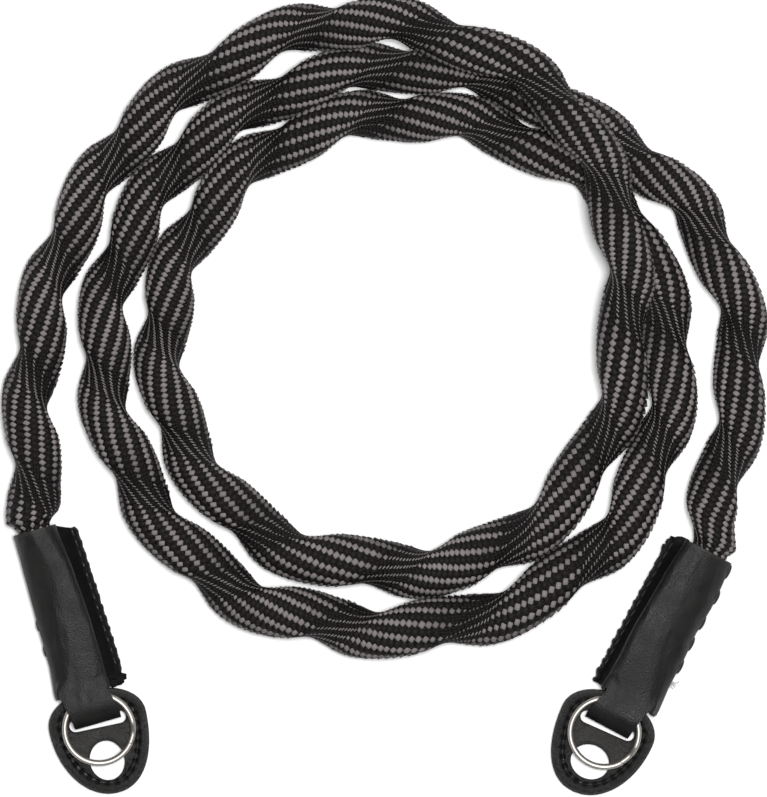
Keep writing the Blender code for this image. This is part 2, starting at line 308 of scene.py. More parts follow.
cordPoints = cordKnots()
waves = len(cordPoints) - 1


def cordLine(places):
    # The cord's middle line at places counted in waves
    first, last = 2 * cordPoints[0] - cordPoints[1], 2 * cordPoints[-1] - cordPoints[-2]
    padded = np.vstack([first, cordPoints, last])
    index = np.clip(places.astype(int), 0, waves - 1)
    share = (places - index)[..., None]
    before, start, end, after = (padded[index + step] for step in range(4))
    return throughKnots(before, start, end, after, share)


def grooveWander(places):
    # How far the cord's middle swings to its left and up, away from the groove that winds round it
    groove = np.pi / 2 - 2 * np.pi * places
    aside = braid["sideWander"] * np.cos(groove + 2 * np.pi * braid["sideLag"])
    return aside, braid["wander"] * np.sin(groove)


def cordFrames(places):
    # Centre, left and up of the cord, how far it is swollen, and its half sizes inside the leather
    ahead = cordLine(np.minimum(places + 0.01, waves))
    behind = cordLine(np.maximum(places - 0.01, 0))
    way = ahead - behind
    way /= np.linalg.norm(way, axis=-1, keepdims=True)
    centre = cordLine(places)
    free = np.ones(places.shape)
    swell = np.ones(places.shape)
    wide = np.zeros(places.shape)
    high = np.zeros(places.shape)
    puffed = np.ones(places.shape)
    for end, near, sign in ((leftEnd, places < 2, -1), (rightEnd, places > waves - 2, 1)):
        turn = np.array(end["place"])
        local = (centre[near] - turn[:3, 3]) @ turn[:3, :3]
        form = formAt(-local[:, 1])
        height = sleeve["height"] * form["height"]
        gap = sleeve["leather"] + sleeve["fit"]
        free[near] = smoothStep(local[:, 1], -sleeve["fit"], braid["neckLength"])
        swell[near] = smoothStep(local[:, 1], braid["neckStart"], braid["neckEnd"])
        wide[near] = end["width"] * form["width"] / 2 - gap
        high[near] = height / 2 - gap
        puff = end["puff"] * (1 - smoothStep(local[:, 1], *braid["puffFade"])) * swell[near]
        puffed[near] += puff
        local[:, 0] = local[:, 0] * free[near] + puff * braid["diameter"] / 2 * end["side"]
        local[:, 2] = height / 2 + (local[:, 2] - height / 2) * swell[near]
        centre[near] = local @ turn[:3, :3].T + turn[:3, 3]
        axis = turn[:3, 1] * -sign
        way[near] = way[near] * free[near][:, None] + axis * (1 - free[near][:, None])
    way /= np.linalg.norm(way, axis=-1, keepdims=True)
    left = np.stack([-way[..., 1], way[..., 0], np.zeros(places.shape)], axis=-1)
    left /= np.linalg.norm(left, axis=-1, keepdims=True)
    up = np.cross(way, left)
    aside, rise = grooveWander(places)
    shift = aside[..., None] * left + rise[..., None] * up
    full = puffed + (np.interp(centre[..., 1], cordFullness["y"], cordFullness["share"]) - 1) * swell
    centre = centre - free[..., None] * shift
    centre[..., 2] += ((full - 1) * braid["diameter"] / 2 + braid["proud"]) * free
    return centre, left, up, swell, wide, high, full


def grooveRadius(angles, places):
    offset = grooveOffset(angles, places)
    reach = np.where(offset < 0, braid["grooveRear"], braid["grooveFront"])
    dip = np.cos(np.clip(offset / reach, -1, 1) * np.pi / 2) ** braid["grooveSharpness"]
    return braid["diameter"] / 2 - braid["grooveDepth"] * dip


def grooveOffset(angles, places):
    return (angles - np.pi / 2 + 2 * np.pi * places + np.pi) % (2 * np.pi) - np.pi


def slowTurn(places):
    # The whole weave turns slowly to and fro about the cord
    return 0.24 * np.sin(places * 1.9 + 0.7) + 0.15 * np.sin(places * 0.83 + 2.0)


def rowTwist(places, angles):
    # The rows of yarn run on evenly while the cord's middle wanders, and drift a little over each swell
    aside, rise = grooveWander(places)
    swing = rise * np.cos(angles) - aside * np.sin(angles)
    offset = np.degrees(grooveOffset(angles, places))
    stops = [braid["dashEnd"] - 360, braid["dashStart"], braid["dashEnd"], 360 + braid["dashStart"]]
    drift = np.interp(offset, stops, [-1, 1, -1, 1])
    return swing / (braid["diameter"] / 2) + braid["rowDrift"] * drift + slowTurn(places)


def cordSurface(places, angles, lift):
    centre, left, up, swell, wide, high, full = cordFrames(places)
    radius = grooveRadius(angles, places) * full + braid["proud"]
    across = (wide + (radius - wide) * swell + lift) * np.cos(angles)
    rise = (high + (radius - high) * swell + lift) * np.sin(angles)
    spots = centre + left * across[..., None] + up * rise[..., None]
    # The soft cord's underside settles flat on the floor
    spots[..., 2] = np.maximum(spots[..., 2], braid["floorGap"])
    return spots


def strandRelief(places, angles):
    # Valleys between the rows of picks, and smooth ribs between the rows of dashes in the groove
    offset = np.degrees(grooveOffset(angles, places))
    start, end, fade = braid["dashStart"], braid["dashEnd"], braid["dashFade"]
    dashed = smoothStep(offset, start - fade, start + fade)
    dashed = dashed * (1 - smoothStep(offset, end - fade, end + fade))
    row = np.cos((angles - rowTwist(places, angles)) * braid["strandRows"])
    ribs = braid["ribTop"] - braid["ribDepth"] * (row * 0.5 + 0.5) ** 2
    return dashed * ribs - (1 - dashed) * braid["groundDepth"]


def moveToCord(bm, placeOf):
    # Moves a flat grid's points onto the cord's surface
    flat = np.array([vert.co for vert in bm.verts])
    places, angles, lift = placeOf(flat)
    for vert, spot in zip(bm.verts, cordSurface(places, angles, lift)):
        vert.co = spot


def makeCordTube():
    places = np.arange(waves * braid["ringsPerWave"] + 1) / braid["ringsPerWave"]
    bm = bmesh.new()
    bm.loops.layers.uv.new("UVMap")
    rows = len(places) - 1
    bmesh.ops.create_grid(bm, x_segments=braid["sides"], y_segments=rows, size=0.5, calc_uvs=True)

    def onTube(flat):
        angles = (flat[:, 0] + 0.5) * 2 * np.pi
        spots = places[np.rint((flat[:, 1] + 0.5) * rows).astype(int)]
        return spots, angles, strandRelief(spots, angles)

    moveToCord(bm, onTube)
    bmesh.ops.remove_doubles(bm, verts=bm.verts, dist=0.01 * mm)
    bmesh.ops.holes_fill(bm, edges=[edge for edge in bm.edges if edge.is_boundary], sides=0)
    bmesh.ops.recalc_face_normals(bm, faces=bm.faces)
    return keepMesh("cordTube", bm), cordFrames(places)[0]


def pickTemplate(rows):
    # A little square grid, whose points become one pick of yarn
    bm = bmesh.new()
    bmesh.ops.create_grid(bm, x_segments=rows - 1, y_segments=rows - 1, size=1.0)
    points = np.array([vert.co[:2] for vert in bm.verts])
    faces = np.array([[vert.index for vert in face.verts] for face in bm.faces])
    bm.free()
    return points, faces


def scatterPicks(name, template, picks):
    # Lays one template on the cord for every pick: lengthwise the cord's way, sidewise to its left
    points, faces = template
    first, second = (np.sign(points) * np.abs(points) ** braid["pickFullness"]).T
    rounding = 1 - picks["rounding"] * (first * second) ** 4
    lengthwise, sidewise = first, second
    if picks["lozenge"]:
        lengthwise, sidewise = (first + second) / 2, (first - second) / 2
    lengthwise, sidewise = lengthwise * rounding, sidewise * rounding
    rim = np.maximum(np.abs(first), np.abs(second)) > 0.99
    near = 0.05
    waveLength = cordLine(picks["place"] + near) - cordLine(picks["place"] - near)
    waveLength = np.linalg.norm(waveLength, axis=-1) / (2 * near)
    along = picks["along"][:, None] * lengthwise[None]
    if picks["lozenge"]:
        along = along * waveLength[:, None]
    across = picks["across"][:, None] * sidewise[None] + picks["lean"] * along
    cosine, sine = np.cos(picks["turn"])[:, None], np.sin(picks["turn"])[:, None]
    along, across = along * cosine - across * sine, along * sine + across * cosine
    places = picks["place"][:, None] + along / waveLength[:, None]
    radius = grooveRadius(picks["angle"], picks["place"])
    angles = picks["angle"][:, None]
    angles = angles + rowTwist(places, angles) - across / radius[:, None]
    lift = np.where(rim, picks["edge"], picks["top"][:, None] + picks["tilt"] * lengthwise[None])
    spots = cordSurface(places.ravel(), angles.ravel(), lift.ravel())
    count = len(picks["place"])
    joined = (faces[None] + (np.arange(count) * len(points))[:, None, None]).reshape(-1, 4)
    mesh = bpy.data.meshes.new(name)
    mesh.from_pydata(spots.tolist(), [], joined.tolist())
    layer = mesh.uv_layers.new(name="yarn")
    yarn = np.stack([first * 0.5 + 0.5, second * 0.5 + 0.5], axis=-1)[None] + picks["yarn"][:, None]
    layer.data.foreach_set("uv", yarn.reshape(-1, 2)[joined.ravel()].astype(np.float32).ravel())
    # Each pick's tone, painted shade included, for its yarn's colour ramp
    tint = mesh.attributes.new("tint", "FLOAT", "POINT")
    tint.data.foreach_set("value", np.repeat(picks["tint"], len(points)).astype(np.float32))
    mesh.shade_smooth()
    return mesh


def rowPlaces(rowAngle, first, last, count, shift, closing):
    # Places of one row's picks along the cord, a fixed pattern from each of the row's crossings of the
    # groove. Closing is how much the picks close up from the pattern's start to its end.
    crossing = (90 - rowAngle) / 360
    share = (np.arange(count) + 0.5 + shift) / count
    pattern = (first + (last - first) * share * (1 + closing - closing * share)) / 360
    places = (crossing + np.arange(-1, waves + 2)[:, None] + pattern[None]).ravel()
    places = places - slowTurn(places) / (2 * np.pi)
    share = np.tile(share, waves + 3)
    keep = (places > braid["pickStart"]) & (places < waves - braid["pickStart"])
    return places[keep], share[keep]


def everyRow(first, last, count, shift, closing, aside=0.0):
    # Places and angles of all the rows' picks, aside by a share of the gap between rows
    rowGap = 360 / braid["strandRows"]
    rows = []
    for row in range(braid["strandRows"]):
        rowAngle = 90 + rowGap * row
        places, share = rowPlaces(rowAngle, first, last, count, shift, closing)
        rows.append((places, np.full(places.shape, math.radians(rowAngle + rowGap * aside)), share))
    return [np.concatenate(column) for column in zip(*rows)]


def makePicks(dark):
    # The black picks lie between the grey rows and between the grey picks' places
    rng = np.random.default_rng(braid["seed"] + dark)
    first, last = braid["dashEnd"], 360 + braid["dashStart"]
    shift, aside = (0.44, 0.5) if dark else (0.0, 0.0)
    place, angle, share = everyRow(first, last, braid["picksPerWave"], shift, braid["closing"], aside)
    count = len(place)
    taper = 1 - 0.28 * np.minimum(np.abs(share * 2 - 1), 1) ** 4
    size = rng.normal(1.0, 0.035, count) * taper
    closed = 1 + braid["closing"] * (1 - 2 * share)
    overlap = braid["darkOverlap" if dark else "pickOverlap"]
    along = overlap * (last - first) / 360 / braid["picksPerWave"] / 2
    across = braid["darkAcross" if dark else "pickAcross"] / 2
    return {
        "lozenge": True,
        "rounding": 0.07,
        "tilt": braid["pickTilt"],
        "place": place + rng.normal(0, 0.0010, count),
        "angle": angle + rng.normal(0, 0.008, count),
        "along": along * size * closed * rng.normal(1.0, 0.03, count),
        "across": across * size,
        "lean": braid["pickLean"],
        "turn": rng.normal(0, 0.04, count),
        "top": braid["darkTop" if dark else "pickTop"] + rng.normal(0, 0.02 * mm, count),
        "edge": braid["pickEdge"],
        "yarn": rng.uniform(0, 40, (count, 2)),
        "tint": toneAndPaintedShade(place, angle, 0.42, rng),
    }


def toneAndPaintedShade(place, angle, leeShadeAmount, rng):
    # The yarn's tone drifts slowly along the cord and from row to row, and a little from pick to pick.
    # Painted shade darkens it just past the groove, most on the cord's right side, and down the cord's
    # sides.
    drift = np.sin(place * 2.3 + angle * 1.7) * 0.12 + np.sin(place * 5.9 - angle * 3.1 + 1.0) * 0.08
    turned = angle + slowTurn(place)
    past = np.degrees(grooveOffset(turned, place)) % 360
    # Painted shade in the lee of the groove, stronger on the cord's right side
    leeShade = np.exp(-((past - 70) / 75) ** 2) * (0.4 + 0.6 * smoothStep(-np.cos(turned), -0.9, 0.6))
    # Painted shade down the cord's sides and underside
    low = smoothStep(1 - np.sin(turned), 0.15, 1.0)
    return np.clip(0.72 + drift - leeShadeAmount * leeShade - 0.48 * low + rng.normal(0, 0.06, len(place)), 0, 1)


def makeDashes():
    rng = np.random.default_rng(braid["seed"] + 7)
    first, last = braid["dashStart"], braid["dashEnd"]
    place, angle, _ = everyRow(first, last, braid["dashesPerWave"], 0.0, -braid["dashOpening"])
    count = len(place)
    return {
        "lozenge": False,
        "rounding": 0.35,
        "tilt": 0.0,
        "place": place + rng.normal(0, 0.0008, count),
        "angle": angle + rng.normal(0, 0.008, count),
        "along": braid["dashLength"] / 2 * rng.normal(1.0, 0.05, count),
        "across": braid["dashWidth"] / 2 * rng.normal(1.0, 0.06, count),
        "lean": 0.0,
        "turn": math.radians(braid["dashLean"]) + rng.normal(0, 0.05, count),
        "top": np.full(count, braid["dashTop"]),
        "edge": braid["dashEdge"],
        "yarn": rng.uniform(0, 40, (count, 2)),
        "tint": toneAndPaintedShade(place, angle, 0.05, rng),
    }


def yarnMaterial(name, stops, fibreColour, roughness, sheen):
    # Textured nylon yarn, braided: soft, matt and fibrous, with a little sheen and a tone for each pick,
    # which carries painted shade
    made, tree, shader = startMaterial(name)
    tint = addNode(tree, "Attribute", {"attribute_name": "tint"})
    yarn = addNode(tree, "UVMap", {"uv_map": "yarn"})
    # Filaments of about 0.12 mm, drawn four times coarser than real ones so that they show
    turned = addNode(tree, "VectorRotate", {"rotation_type": "Z_AXIS", "Angle": 0.6}, {"Vector": yarn})
    stretched = addNode(tree, "Mapping", {"Scale": (2.0, 9.0, 1.0)}, {"Vector": turned})
    fibres = addNode(
        tree, "TexNoise", {"Scale": 1.6, "Detail": 2.0, "Roughness": 0.6}, {"Vector": stretched}
    )
    # The ramp's darker stops are reached through the painted shade in each pick's tone
    ramp = addNode(tree, "ValToRGB", {"stops": stops}, {"Fac": tint.outputs["Fac"]})
    depth = addNode(
        tree, "MapRange", {"From Min": 0.35, "From Max": 0.75, "To Min": 0.55, "To Max": 0.0},
        {"Value": fibres},
    )
    mix = addNode(tree, "Mix", {"data_type": "RGBA", 7: linearColour(fibreColour)}, {0: depth, 6: ramp})
    bump = addNode(tree, "Bump", {"Strength": 0.5, "Distance": 0.00012}, {"Height": fibres})
    settings = {"Roughness": roughness, "Specular IOR Level": 0.15}
    settings.update({"Sheen Weight": sheen, "Sheen Roughness": 0.5})
    setNode(tree, shader, settings, {"Base Color": mix.outputs[2], "Normal": bump})
    return made


def ropeGroundMaterial():
    # The same black nylon lying deeper in the braid: coloured near black, darker than the picks, as
    # painted shade, knobbly, with faint slanting filaments
    made, tree, shader = startMaterial("blackNylonGround")
    yarn = addNode(tree, "UVMap", {"uv_map": "UVMap"})
    # Knobs of about 0.65 mm across and 0.75 mm along, the size of the real floats
    knobSpot = addNode(tree, "Mapping", {"Scale": (48.0, 1300.0, 1.0)}, {"Vector": yarn})
    knobs = addNode(
        tree, "TexVoronoi", {"Scale": 1.0, "Randomness": 0.3, "voronoi_dimensions": "2D"},
        {"Vector": knobSpot},
    )
    stretched = addNode(tree, "Mapping", {"Scale": (60.0, 2600.0, 1.0)}, {"Vector": yarn})
    fibres = addNode(
        tree, "TexNoise", {"Scale": 1.0, "Detail": 3.0, "Roughness": 0.6}, {"Vector": stretched}
    )
    # Painted shade at the knobs' edges, between them, which also gives their bumps
    knobHeightAndShade = addNode(
        tree, "MapRange", {"From Min": 0.15, "From Max": 0.6, "To Min": 1.0, "To Max": 0.2},
        {"Value": knobs},
    )
    both = addNode(tree, "Math", {"operation": "MULTIPLY"}, {0: knobHeightAndShade, 1: fibres})
    ramp = addNode(tree, "ValToRGB", {"stops": [(0.06, "#020202"), (0.5, "#1f1c1b")]}, {"Fac": both})
    bump = addNode(tree, "Bump", {"Strength": 0.8, "Distance": 0.0003}, {"Height": knobHeightAndShade})
    settings = {"Roughness": 0.7, "Specular IOR Level": 0.12}
    setNode(tree, shader, settings, {"Base Color": ramp, "Normal": bump})
    return made


greyYarn = yarnMaterial(
    "greyNylonYarn",
    [(0.0, "#4a4747"), (0.35, "#6f6a6a"), (0.6, "#817c7b"), (0.8, "#878381"), (1.0, "#928a8b")],
    "#5f5858", 0.66, 0.02,
)
blackYarn = yarnMaterial(
    "blackNylonYarn",
    [(0.0, "#0f0e0e"), (0.4, "#1a1716"), (0.65, "#201c1b"), (0.85, "#1d1d1b"), (1.0, "#272221")],
    "#0e0c0c", 0.64, 0.01,
)

tubeMesh, centreLine = makeCordTube()
cordTube = placePiece("cordTube", tubeMesh, ropeGroundMaterial(), ["braided_cord"])
pickGrid = pickTemplate(4)
greyPicks = placePiece(
    "greyPicks", scatterPicks("greyPicks", pickGrid, makePicks(False)), greyYarn
)
blackPicks = placePiece(
    "blackPicks", scatterPicks("blackPicks", pickGrid, makePicks(True)), blackYarn
)
greyDashes = placePiece(
    "greyDashes", scatterPicks("greyDashes", pickGrid, makeDashes()), greyYarn
)


def leatherMaterial(name, dark, light, roughness, gloss):
    # Full-grain cowhide, dyed black and lightly waxed: a soft low gloss, fine pores and a few creases
    made, tree, shader = startMaterial(name)
    spot = addNode(tree, "TexCoord").outputs["Object"]
    # Pores of about 0.3 mm, drawn twice as coarse as real ones, and pebbling of about 0.4 mm
    pores = addNode(tree, "TexVoronoi", {"Scale": 3400.0}, {"Vector": spot})
    pebbles = addNode(
        tree, "TexNoise", {"Scale": 2600.0, "Detail": 3.0, "Roughness": 0.6}, {"Vector": spot}
    )
    clouds = addNode(
        tree, "TexNoise", {"Scale": 190.0, "Detail": 3.0, "Roughness": 0.55}, {"Vector": spot}
    )
    wear = addNode(tree, "Attribute", {"attribute_name": "wear"})
    ramp = addNode(tree, "ValToRGB", {"stops": [(0.3, dark), (0.75, light)]}, {"Fac": clouds})
    amount = addNode(tree, "Math", {"operation": "MULTIPLY"}, {0: wear.outputs["Fac"], 1: pebbles})
    worn = addNode(tree, "Mix", {"data_type": "RGBA", 7: linearColour("#383635")}, {0: amount, 6: ramp})
    # Painted shade in the stitch pits and along the sewn channel, darkening towards near black
    pit = addNode(tree, "Attribute", {"attribute_name": "pit"})
    seamShaded = addNode(
        tree, "Mix", {"data_type": "RGBA", 7: linearColour("#020202")},
        {0: pit.outputs["Fac"], 6: worn.outputs[2]},
    )
    rough = addNode(
        tree, "MapRange",
        {"From Min": 0.3, "From Max": 0.7, "To Min": roughness - 0.07, "To Max": roughness + 0.12},
        {"Value": clouds},
    )
    both = addNode(tree, "Math", {"operation": "ADD"}, {0: pores, 1: pebbles})
    bump = addNode(tree, "Bump", {"Strength": 0.7, "Distance": 0.0001}, {"Height": both})
    links = {"Base Color": seamShaded.outputs[2], "Roughness": rough, "Normal": bump}
    setNode(tree, shader, {"Specular IOR Level": gloss}, links)
    return made


blackLeather = leatherMaterial("blackCowhide", "#0c0c0c", "#171615", 0.52, 0.29)
# The flanges' cowhide, coloured darker as painted shade for the valley beside the seam
flangeShadeLeather = leatherMaterial("blackCowhidePaintedShade", "#040404", "#0b0b0b", 0.66, 0.13)
padLeather = leatherMaterial("wornBlackCowhide", "#080808", "#171615", 0.62, 0.27)


def threadMaterial():
    # Waxed polyester sewing thread, three-ply: black, slightly shiny along each twist of about 0.45 mm
    made, tree, shader = startMaterial("waxedBlackThread")
    spot = addNode(tree, "TexCoord").outputs["Object"]
    twist = addNode(
        tree, "TexWave", {"Scale": 1400.0, "Distortion": 1.5, "bands_direction": "DIAGONAL"},
        {"Vector": spot},
    )
    ramp = addNode(
        tree, "ValToRGB", {"stops": [(0.2, "#040404"), (0.9, "#131314")]}, {"Fac": twist.outputs["Fac"]}
    )
    bump = addNode(tree, "Bump", {"Strength": 0.5, "Distance": 0.0001}, {"Height": twist.outputs["Fac"]})
    setNode(tree, shader, {"Roughness": 0.45}, {"Base Color": ramp, "Normal": bump})
    return made


blackThread = threadMaterial()


# Millimetres from the mouth at which each end's crown and plain edge are set
crownPlaces = [0, 5, 10, 16, 22, 28, 33]


def sectionPoint(end, angle, distance):
    # Outer side of the sleeve: an oval with a flat underside, squarer and lower towards the tab
    form = formAt(distance)
    halfWidth = end["width"] * form["width"] / 2
    height = sleeve["height"] * form["height"]
    power = 2 / form["round"]
    across = math.copysign(abs(math.cos(angle)) ** power, math.cos(angle)) * halfWidth
    # The crown lies towards the flange, so the leather stays high before it drops to the seam
    across += mm * np.interp(distance / mm, crownPlaces, end["crown"]) * max(math.sin(angle), 0)
    reach = mm * np.interp(distance / mm, crownPlaces, end["plainReach"])
    across -= reach * float(smoothStep(-math.cos(angle), 0.4, 1.0))
    rise = math.copysign(abs(math.sin(angle)) ** power, math.sin(angle)) * height / 2
    fullness = sleeve["topFullness" if rise > 0 else "underFullness"]
    level = min(max(height / 2 + rise * fullness, 0), height)
    return across, level


padForm = {
    "thickness": 1.8 * mm,
    "width": 20.2 * mm,
    "above": 6.6 * mm,
    "below": 15.2 * mm,
    "lean": 0.8 * mm,
    "turn": math.radians(4),
    "slotSideGap": 1.0 * mm,
    "slotViewGap": 0.9 * mm,
    "holeDistance": 8.3 * mm,
    "voxel": 0.2 * mm,
    "seamInset": 2.3 * mm,
    "stitch": 1.95 * mm,
    "stitchSink": 0.22 * mm,
    "channelWidth": 0.5 * mm,
    "channelDepth": 0.20 * mm,
    "pitWidth": 0.42 * mm,
    "pitDepth": 0.55 * mm,
    "bulge": 0.16 * mm,
    "middleSink": 0.10 * mm,
    "lipSink": 0.18 * mm,
}
ringForm = {
    "diameter": 15.0 * mm,
    "wire": 1.0 * mm,
    "plating": 0.06 * mm,
    "turnGap": 0.06 * mm,
    "below": 1.4 * mm,
    "step": 20,
    "turns": 1.9,
    "steps": 110,
    "endRounding": 0.15 * mm,
}

tabStart = sleeve["length"] - sleeve["tabRun"]
half = sleeve["leather"] / 2
slotSlant = sleeve["tabWidth"] / 2 * math.tan(padForm["turn"])
slotTop = -(half + sleeve["fit"] + slotSlant + 0.1 * sleeve["leather"])
slotBottom = half + padForm["slotViewGap"]
slotDistance = sleeve["length"] + sleeve["tabBeyond"] - half
padSlope = math.atan2(sleeve["leather"] + sleeve["fit"], padForm["below"] - slotTop)
ringTop = (
    (padForm["below"] - ringForm["below"] + ringForm["diameter"] / 2) * math.sin(padSlope)
    + padForm["thickness"] + sleeve["fit"] + 2 * ringForm["wire"] + ringForm["turnGap"]
)


def tabMiddle():
    # The tab's leather seen from the side, over the ring, round the fold and back: distance, height
    low = half + 0.03 * mm
    crest = ringTop + sleeve["fit"] + half
    top = sleeve["height"] * sleeveForm["height"][-1] - half
    fold = slotDistance
    length = sleeve["length"]
    beyond = sleeve["tabBeyond"]
    rows = [
        (tabStart, top - 0.1 * mm),
        (length, (top + crest) / 2 - 0.1 * mm),
        (length + beyond * 0.26, crest),
        (length + beyond * 0.55, crest - 0.05 * mm),
        (length + beyond * 0.75, crest - 0.8 * mm),
        (fold - 0.5 * mm, crest * 0.69),
        (fold, crest * 0.52),
        (fold, 2.2 * half + crest * 0.1),
        (fold - 0.45 * mm, low + 0.35 * mm),
        (fold - 1.3 * mm, low),
        (length, low),
        (tabStart, low),
    ]
    return [Vector((*row, 0)) for row in rows]


def evenLine(rows, step):
    # Points an even step apart along a smooth curve through the rows
    parts = 24
    fine = []
    for index in range(len(rows) - 1):
        before = rows[max(index - 1, 0)]
        after = rows[min(index + 2, len(rows) - 1)]
        start, end = rows[index], rows[index + 1]
        for part in range(parts):
            fine.append(throughKnots(before, start, end, after, part / parts))
    fine.append(rows[-1])
    spacing = [0.0]
    for first, second in zip(fine, fine[1:]):
        spacing.append(spacing[-1] + (second - first).length)
    count = int(spacing[-1] / step)
    targets = np.linspace(0, spacing[-1], count + 1)
    lines = [np.interp(targets, spacing, [point[axis] for point in fine]) for axis in range(3)]
    return [Vector(point) for point in zip(*lines)]


tabLine = evenLine(tabMiddle(), sleeve["tabStep"])


def creaseDepth(end, across, distance):
    # Dents and folds in the leather, with long creases slightly aslant where it was bent
    across, distance = across / mm, distance / mm
    broad = uneven(across * 0.22, distance * 0.10, 3.0 + end["side"])
    fine = uneven(across * 0.9, distance * 0.35, 9.0 + end["side"])
    crease = uneven(across * 0.55 + distance * 0.12, distance * 0.07, 15.0 + end["side"])
    dents = broad * sleeve["broadDents"] + fine * sleeve["fineDents"]
    return dents - abs(crease) * sleeve["longCreases"]


def tabPoint(end, degrees, step):
    # A point of the tab's leather, which starts as the sleeve's section and flattens into the tab
    tabFrom, tabTo = sleeve["tabDegrees"]
    point = tabLine[step]
    way = (tabLine[min(step + 1, len(tabLine) - 1)] - tabLine[max(step - 1, 0)]).normalized()
    run = sleeve["tabStep"] * step
    blend = float(smoothStep(run, 0, 3.6 * mm) * (1 - smoothStep(abs(degrees - 90), 50, 72)))
    edgeDistance = min(tabStart + run, sleeve["panelEnd"] + 2 * mm)
    across, level = sectionPoint(end, math.radians(degrees), edgeDistance)
    shift = sleeve["tabShift"] * float(smoothStep(point.x, sleeve["length"] * 0.9, slotDistance))
    share = (degrees - tabFrom) / (tabTo - tabFrom)
    flat = shift + (0.5 - share) * sleeve["tabWidth"]
    crown = sleeve["tabCrown"] * math.sin(math.pi * min(max(share, 0), 1)) ** 0.7
    height = point.y + way.x * (half + crown * (1 if step < sleeve["crownSteps"] else 0))
    across += (flat - across) * blend
    level += (height - level) * blend
    distance = edgeDistance + (point.x - way.y * half - edgeDistance) * blend
    return across, distance, level, tabStart + run


def makeSleeveLeather(end):
    bodyRows = sleeve["bodyRows"]
    rows = bodyRows + len(tabLine)
    side = end["side"]
    bm = bmesh.new()
    bmesh.ops.create_grid(bm, x_segments=sleeve["columns"], y_segments=rows - 1, size=0.5)
    wearLayer = bm.verts.layers.float.new("wear")
    marks = {}
    for vert in bm.verts:
        degrees = (vert.co.x + 0.5) * 360
        angle = math.radians(degrees)
        row = int(round((vert.co.y + 0.5) * (rows - 1)))
        if row < bodyRows:
            distance = run = tabStart * row / bodyRows
            across, level = sectionPoint(end, angle, distance)
        else:
            across, distance, level, run = tabPoint(end, degrees, row - bodyRows)
        lift = creaseDepth(end, across, run) * float(smoothStep(math.sin(angle), -0.2, 0.5))
        pinch = sum(math.exp(-((run / mm - spot) / 0.9) ** 2) for spot in end["edgeStitches"])
        across += end["pinch"] * pinch * float(smoothStep(-math.cos(angle), 0.5, 1.0))
        marks[vert] = (degrees, run)
        across += math.cos(angle) * lift
        vert.co = Vector((across * side, -distance, max(level + math.sin(angle) * lift, 0.0)))
        rim = 1 - float(smoothStep(run, 0.0, 0.9 * mm))
        flank = float(smoothStep(abs(degrees - 180), 26, 8))
        vert[wearLayer] = max(rim * 0.8, flank * 0.5)
    gone = []
    tabFrom, tabTo = sleeve["tabDegrees"]
    for face in bm.faces:
        degrees = sum(marks[vert][0] for vert in face.verts) / len(face.verts)
        run = sum(marks[vert][1] for vert in face.verts) / len(face.verts)
        ragged = sleeve["panelEnd"] + 0.3 * mm * uneven(degrees * 0.05, side, 0)
        ragged += end["fray"] * uneven(degrees * 0.31, side, 4)
        if not tabFrom < degrees < tabTo and run > ragged:
            gone.append(face)
    bmesh.ops.delete(bm, geom=gone, context="FACES")
    bmesh.ops.remove_doubles(bm, verts=bm.verts, dist=0.01 * mm)
    faceUp(bm)
    name = end["name"] + "SleeveLeather"
    mesh = keepMesh(name, bm, end["place"])
    piece = placePiece(name, mesh, blackLeather, [end["name"] + "_sleeve"])
    thickenLeather(piece, sleeve["skin"], sleeve["rounding"])


# The two layers sewn together along the sleeve's side. Seam is the share of their width where the thread
# pulls them in, and stitched the share of their reach at which the stitches lie.
flange = {
    "columns": 10,
    "rows": 110,
    "skin": 0.96 * mm,
    "rounding": 0.25 * mm,
    "root": 0.35 * mm,
    "seam": 0.77,
    "stitched": 0.75,
    "stitchSink": 0.08 * mm,
    "seamDent": 0.25 * mm,
    "pucker": 0.10 * mm,
    "rise": 3.0 * mm,
    "riseWidth": 0.74,
    "waviness": 0.18 * mm,
    "roughness": 0.16 * mm,
}


def flangeReach(end, distance, form):
    # How far the flange stands out past the sleeve's side
    share = np.interp(distance, [0, 10 * mm, sleeve["length"]], end["flangeReach"])
    return sleeve["flangeWidth"] * form["flange"] * share


